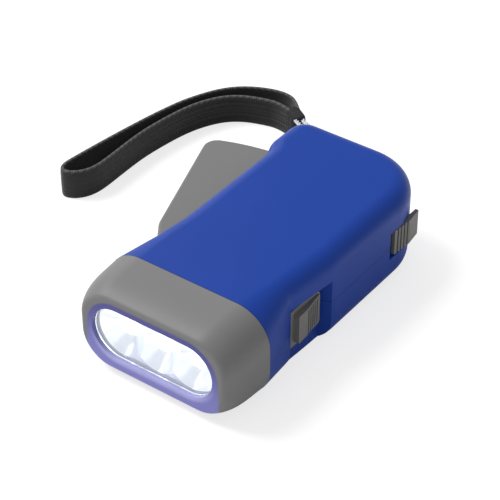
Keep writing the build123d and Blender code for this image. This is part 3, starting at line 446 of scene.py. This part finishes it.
def line_mesh(name, line):
    """A chain of edges along a line, as a base for a Making."""
    mesh = bpy.data.meshes.new(name)
    mesh.from_pydata(line, [(step, step + 1) for step in range(len(line) - 1)], [])
    return mesh


nylon = Finish("pale_cord", Specular_IOR_Level=0.4, Subsurface_Weight=0.15)
fuzz = nylon.noise(4000.0, 3.0)
nylon.set("Base Color", nylon.blend(fuzz, *NYLON_WHITES))
nylon.set("Roughness", 0.35 + 0.2 * fuzz)
nylon.relief(fuzz, 0.05 * MM, 0.5)

twist = Making(
    "strap_cord_strands", Lay=4.2 * MM, StrandRadius=TOUCHING_STRAND_RADIUS,
    CordRadius=CORD_RADIUS, Spacing=0.3 * MM,
)
turned = twist.node("GeometryNodeSetCurveTilt", None, {
    "Curve": twist.route(twist.size("Spacing")),
    "Tilt": twist.along() / twist.size("Lay") * (2 * math.pi),
})
strand_centres = twist.node("GeometryNodeCurvePrimitiveCircle", None, {
    "Resolution": STRANDS,
    "Radius": twist.size("CordRadius") - twist.size("StrandRadius"),
})
strand = twist.node("GeometryNodeCurvePrimitiveCircle", None, {
    "Resolution": STRAND_SIDES,
    "Radius": twist.size("StrandRadius"),
})
strands = twist.node("GeometryNodeInstanceOnPoints", None, {
    "Points": strand_centres,
    "Instance": strand,
})
strands = twist.node("GeometryNodeRealizeInstances", None, {"Geometry": strands})
cord_line = smooth_line("cord_route", CORD_ROUTE)
cord = twist.build(twist.sweep(turned, strands), nylon, line_mesh("cord_line", cord_line))

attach(cord, "housing")
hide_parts("strap_cord")
[tuple(place) for place in cord_line]

# ---- Strap end --------------------------------------------------------------------------------
# The strap's end piece is the webbing folded over twice, which hides the cord's knot. Two rows
# of black thread sew each face. It rounds off towards the cord and towards the loop.
END_MIDDLE = Vector((-40.0, 71.9, 5.2)) * MM
END_TURN = math.radians(-32.0)
END_AHEAD = Vector((math.cos(END_TURN), math.sin(END_TURN), 0.0))
END_ACROSS = END_AHEAD.cross(Vector((0, 0, 1)))
END_LENGTH = 7.6 * MM
END_HALF_THICKNESS = 2.45 * MM
END_HALF_HEIGHT = 5.15 * MM
END_STATIONS = 30
END_SIDES = 48
END_STRAIGHT_SHARE = 0.22
END_CLOSING = 0.96
END_LOWER_AT_TIPS = 0.14
END_FACE_FLATNESS = 0.55
END_TOP_FLATNESS = 0.35
WEAVE_PITCH = 0.6 * MM
END_BLACKS = tint(0.012, 0.012, 0.013), tint(0.042, 0.042, 0.044)
THREAD_BLACKS = tint(0.050, 0.050, 0.052), tint(0.090, 0.090, 0.094)
STITCH_ROWS = 2
STITCHES_IN_ROW = 8


def end_section(travelled):
    """A rounded section, as (out, rise) places, that shrinks in a quarter circle at each end."""
    from_middle = abs(travelled / END_LENGTH - 0.5)
    past = max(0.0, from_middle - END_STRAIGHT_SHARE) / (0.5 - END_STRAIGHT_SHARE)
    swell = math.sqrt(max(0.0, 1.0 - END_CLOSING * past * past))
    half_thickness = END_HALF_THICKNESS * swell
    half_height = END_HALF_HEIGHT * (1.0 - END_LOWER_AT_TIPS * (1.0 - swell))
    section = []
    for side in range(END_SIDES):
        angle = 2 * math.pi * side / END_SIDES
        out = math.copysign(abs(math.cos(angle)) ** END_FACE_FLATNESS, math.cos(angle))
        rise = math.copysign(abs(math.sin(angle)) ** END_TOP_FLATNESS, math.sin(angle))
        section.append((half_thickness * out, half_height * rise))
    return section


def folded_end(name):
    """The end piece: its sections joined into a closed skin, with (along, rise) as its UVs."""
    places, faces, uvs = [], [], []
    for station in range(END_STATIONS + 1):
        travelled = END_LENGTH * station / END_STATIONS
        middle = END_MIDDLE + END_AHEAD * (travelled - END_LENGTH / 2)
        for out, rise in end_section(travelled):
            places.append(middle + END_ACROSS * out + Vector((0, 0, rise)))
            uvs.append((travelled, rise))
    for station in range(END_STATIONS):
        for side in range(END_SIDES):
            after = (side + 1) % END_SIDES
            here, ahead = station * END_SIDES, (station + 1) * END_SIDES
            faces.append((here + side, ahead + side, ahead + after, here + after))
    faces.append(tuple(range(END_SIDES)))
    faces.append(tuple(reversed(range(END_STATIONS * END_SIDES, (END_STATIONS + 1) * END_SIDES))))
    mesh = bpy.data.meshes.new(name)
    mesh.from_pydata(places, [], faces)
    layer = mesh.uv_layers.new(name="along")
    for corner in mesh.loops:
        layer.data[corner.index].uv = uvs[corner.vertex_index]
    mesh.polygons.foreach_set("use_smooth", [True] * len(mesh.polygons))
    mesh.update()
    piece = bpy.data.objects.new(name, mesh)
    bpy.context.collection.objects.link(piece)
    return piece


sewn_end = folded_end("sewn_strap_end")
end_black = Finish("strap_end_black", Specular_IOR_Level=0.2)
along, rise = end_black.axes(end_black.uv)[:2]
fuzz = end_black.noise(2500.0, 3.0)
picks = (rise * (math.pi / WEAVE_PITCH)).math("SINE")
picks = picks * (along * (math.pi / WEAVE_PITCH)).math("SINE")
end_black.set("Base Color", end_black.blend(0.35 * picks + 0.5 * fuzz, *END_BLACKS))
end_black.set("Roughness", 0.75 + 0.15 * fuzz)
end_black.relief(0.4 * picks + 0.3 * fuzz, 0.10 * MM, 0.8)
sewn_end.data.materials.append(end_black.material)

thread_black = Finish("thread_black", Specular_IOR_Level=0.4)
fuzz = thread_black.noise(5000.0, 3.0)
thread_black.set("Base Color", thread_black.blend(fuzz, *THREAD_BLACKS))
thread_black.set("Roughness", 0.50 + 0.15 * fuzz)
thread_black.relief(fuzz, 0.03 * MM, 0.4)

sewing = Making(
    "end_stitches", RowGap=1.9 * MM, RowHeight=8.0 * MM, StitchLength=0.75 * MM,
    ThreadRadius=0.16 * MM, Standoff=6.0 * MM,
)
rows = sewing.node("GeometryNodeMeshGrid", None, {
    "Size X": sewing.size("RowGap"),
    "Size Y": sewing.size("RowHeight"),
    "Vertices X": STITCH_ROWS,
    "Vertices Y": STITCHES_IN_ROW,
})
radius = sewing.size("ThreadRadius")
bead = sewing.node("GeometryNodeMeshUVSphere", None, {"Segments": 8, "Rings": 6, "Radius": 1.0})
stitch = sewing.node("GeometryNodeTransform", None, {
    "Geometry": bead,
    "Scale": sewing.vector(radius, radius, sewing.size("StitchLength") * 0.5),
})
both_faces = sewing.node("GeometryNodeJoinGeometry")
for side in (-1, 1):
    stood = sewing.node("GeometryNodeTransform", None, {
        "Geometry": rows,
        "Translation": END_MIDDLE,
        "Rotation": (math.pi / 2, 0.0, END_TURN),
    })
    beside = sewing.node("ShaderNodeVectorMath", {"operation": "SCALE"}, {
        "Vector": END_ACROSS * side,
        "Scale": sewing.size("Standoff"),
    })
    beside = sewing.node("GeometryNodeSetPosition", None, {"Geometry": stood, "Offset": beside})
    skin = sewing.node(
        "GeometryNodeProximity", {"target_element": "FACES"}, {"Geometry": sewing.base}
    )
    laid = sewing.node("GeometryNodeSetPosition", None, {
        "Geometry": beside,
        "Position": skin.outputs["Position"],
    })
    sewn = sewing.node("GeometryNodeInstanceOnPoints", None, {"Points": laid, "Instance": stitch})
    sewing.feed(both_faces.inputs[0], sewn)
stitches = sewing.build(both_faces, thread_black, sewn_end.data)

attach(stitches, "housing")
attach(sewn_end, "housing")
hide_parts("strap_ferrule")

# ---- Wrist strap ------------------------------------------------------------------------------
# A 10 mm black polyester webbing with a pale fleck in its selvedges, folded into a loop that
# stands on its edge; both ends go into the end piece. Five ribs run along it, and they stand out
# most on the way back to the end piece. Painted shade, meant for the grooves between them, darkens
# the rib crests, most on the way back to the end piece.
WEBBING_WIDTH = 10.0 * MM
WEBBING_THICKNESS = 1.3 * MM
WEBBING_MIDDLE_Z = 5.1
WEBBING_ROUTE = (
    (-40.8, 74.2), (-44.4, 77.9), (-49.0, 79.4), (-54.2, 78.6), (-59.8, 76.2),
    (-64.6, 72.8), (-68.4, 68.0), (-71.3, 62.1), (-73.8, 55.4), (-75.5, 47.7),
    (-76.9, 40.2), (-79.0, 26.0), (-80.8, 11.0), (-81.2, 6.2), (-79.8, 3.5),
    (-76.6, 4.2), (-73.9, 7.0), (-72.5, 10.8), (-72.3, 16.0), (-72.8, 26.0),
    (-72.9, 36.0), (-71.3, 48.9), (-69.6, 56.0), (-67.2, 61.7), (-64.0, 66.5),
    (-59.6, 69.9), (-54.2, 72.0), (-47.6, 73.6), (-42.2, 71.8),
)
RIBS = 5
RIBS_START = 135.0 * MM
RIBS_GROW_OVER = 25.0 * MM
WEFT_PITCH, WEFT_SLANT = 0.60 * MM, 1.10 * MM
WARP_PITCH, WARP_SLANT = 0.55 * MM, 1.30 * MM
SELVEDGE_EDGE = 4.80 * MM, 4.95 * MM
SECTION_SIDES = 96
FACE_FLATNESS = 0.28
EDGE_ROUNDNESS = 0.85
WEBBING_BLACKS = tint(0.012, 0.012, 0.012), tint(0.036, 0.036, 0.037)
SELVEDGE_GREY = tint(0.14, 0.14, 0.14)

webbing_black = Finish(
    "webbing_black", Sheen_Weight=0.25, Sheen_Roughness=0.4, Specular_IOR_Level=0.2,
)
along, rise = webbing_black.axes(webbing_black.uv)[:2]
weft = (along * (math.pi / WEFT_PITCH) + rise * (math.pi / WEFT_SLANT)).math("SINE")
warp = (rise * (math.pi / WARP_PITCH) - along * (math.pi / WARP_SLANT)).math("SINE")
weave = 0.5 + 0.5 * (weft * warp)
fuzz = webbing_black.noise(3000.0, 3.0)
selvedge = abs(rise).step(*SELVEDGE_EDGE)
# Painted shade meant for the grooves between the ribs; it darkens the rib crests.
painted_rib_shade = 0.5 + 0.5 * (rise * (2 * math.pi * RIBS / WEBBING_WIDTH)).math("COSINE")
ribbed = along.step(RIBS_START, RIBS_START + RIBS_GROW_OVER)
shaded = 1.0 - painted_rib_shade * (0.2 + 0.5 * ribbed)
threads = webbing_black.blend((0.75 * weave + 0.25 * fuzz) * shaded, *WEBBING_BLACKS)
fleck = selvedge * (0.10 + 0.5 * weave)
webbing_black.set("Base Color", webbing_black.blend(fleck, threads, SELVEDGE_GREY))
webbing_black.set("Roughness", 0.72 + 0.2 * fuzz)
webbing_black.relief(0.7 * weave + 0.4 * fuzz, 0.12 * MM, 0.9)

loop = Making(
    "webbing_loop", Width=WEBBING_WIDTH, Thickness=WEBBING_THICKNESS, Spacing=0.5 * MM,
    Ribs=float(RIBS), RibDepth=0.18 * MM, RibsStart=RIBS_START, RibsGrowOver=RIBS_GROW_OVER,
)
half_width, half_thick = loop.size("Width") * 0.5, loop.size("Thickness") * 0.5
route, along = loop.keep(loop.route(loop.size("Spacing")), loop.along())
upright = loop.node("GeometryNodeSetCurveNormal", {"mode": "Z_UP"}, {"Curve": route})

# Its section is a circle pressed into a flat oval.
circle = loop.node("GeometryNodeCurvePrimitiveCircle", None, {"Resolution": SECTION_SIDES})
turn = loop.along("Factor") * (2 * math.pi)
out, up = turn.math("COSINE"), turn.math("SINE")
out = out.math("SIGN") * abs(out) ** FACE_FLATNESS
up = up.math("SIGN") * abs(up) ** EDGE_ROUNDNESS
section = loop.node("GeometryNodeSetPosition", None, {
    "Geometry": circle,
    "Position": loop.vector(out * half_thick, up * half_width),
})
section, across = loop.keep(section, up * half_width)
strip = loop.sweep(upright, section)

# The valleys between its ribs are sunk into both faces.
from_middle = across / half_width
valley = 0.5 - 0.5 * (from_middle * loop.size("Ribs") * math.pi).math("COSINE")
flat_part = 1.0 - abs(from_middle).step(0.84, 0.90)
ribbed = (along - loop.size("RibsStart")).step(0.0, loop.size("RibsGrowOver"))
depth = valley * flat_part * loop.size("RibDepth") * (0.2 + 0.8 * ribbed)
inwards = loop.node("ShaderNodeVectorMath", {"operation": "SCALE"}, {
    "Vector": loop.node("GeometryNodeInputNormal"),
    "Scale": depth * -1.0,
})
strip = loop.node("GeometryNodeSetPosition", None, {"Geometry": strip, "Offset": inwards})
strip = loop.node(
    "GeometryNodeStoreNamedAttribute", {"data_type": "FLOAT2", "domain": "CORNER"},
    {"Geometry": strip, "Name": "along_and_across", "Value": loop.vector(along, across)},
)
webbing_line = smooth_line("webbing_route", [(*place, WEBBING_MIDDLE_Z) for place in WEBBING_ROUTE])
webbing = loop.build(strip, webbing_black, line_mesh("webbing_line", webbing_line))

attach(webbing, "housing")
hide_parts("wrist_strap")
[tuple(place) for place in webbing_line]

# ---- Light and table --------------------------------------------------------------------------
# The torch lies on a seamless white sheet in an even white room. One large soft lamp hangs over
# the lever's side, a small one stands behind the lever, and a weak one stands by the camera.
# Each row is a lamp's name, its place and size in metres, and its watts.
LAMPS = (
    ("lamp_over_lever", (-0.80, -0.25, 1.10), 0.6, 20.0),
    ("lamp_behind_lever", (-0.34, 0.20, 0.24), 0.16, 0.25),
    ("lamp_by_camera", (0.75, -0.75, 0.45), 0.9, 0.8),
)
ROOM_LIGHT = 0.48
TABLE_SIZE = 6.0
TABLE_TOP_Z = -0.02 * MM
SHEET_WHITE = tint(0.93, 0.93, 0.93)
SHEET_SHADED, SHEET_GLOW = tint(0.34, 0.34, 0.34), tint(0.72, 0.72, 0.72)


def seen_directly(nodes):
    """1 for the camera's own rays, 0 for the light that goes round the scene."""
    return Field(nodes, nodes.node("ShaderNodeLightPath").outputs["Is Camera Ray"])


for name, place, size, watts in LAMPS:
    data = bpy.data.lights.new(name, "AREA")
    data.size = size
    data.energy = watts
    lamp = bpy.data.objects.new(name, data)
    lamp.location = place
    lamp.rotation_euler = Vector(place).to_track_quat("Z", "Y").to_euler()
    bpy.context.collection.objects.link(lamp)

world = bpy.data.worlds.new("white_room")
world.use_nodes = True
room = Nodes(world.node_tree)
backdrop = world.node_tree.nodes["Background"]
room.feed(backdrop.inputs["Color"], tint(1.0, 1.0, 1.0))
room.feed(backdrop.inputs["Strength"], ROOM_LIGHT + (1.0 - ROOM_LIGHT) * seen_directly(room))
bpy.context.scene.world = world

bpy.ops.mesh.primitive_plane_add(size=TABLE_SIZE, location=(0, 0, TABLE_TOP_Z))
table = bpy.context.object
table.name = "white_table"
sheet = Finish("white_sheet", Roughness=0.9, Specular_IOR_Level=0.0, Emission_Strength=1.0)
seen = seen_directly(sheet)
sheet.set("Base Color", sheet.blend(seen, SHEET_WHITE, SHEET_SHADED))
sheet.set("Emission Color", sheet.blend(seen, tint(0.0, 0.0, 0.0), SHEET_GLOW))
table.data.materials.append(sheet.material)
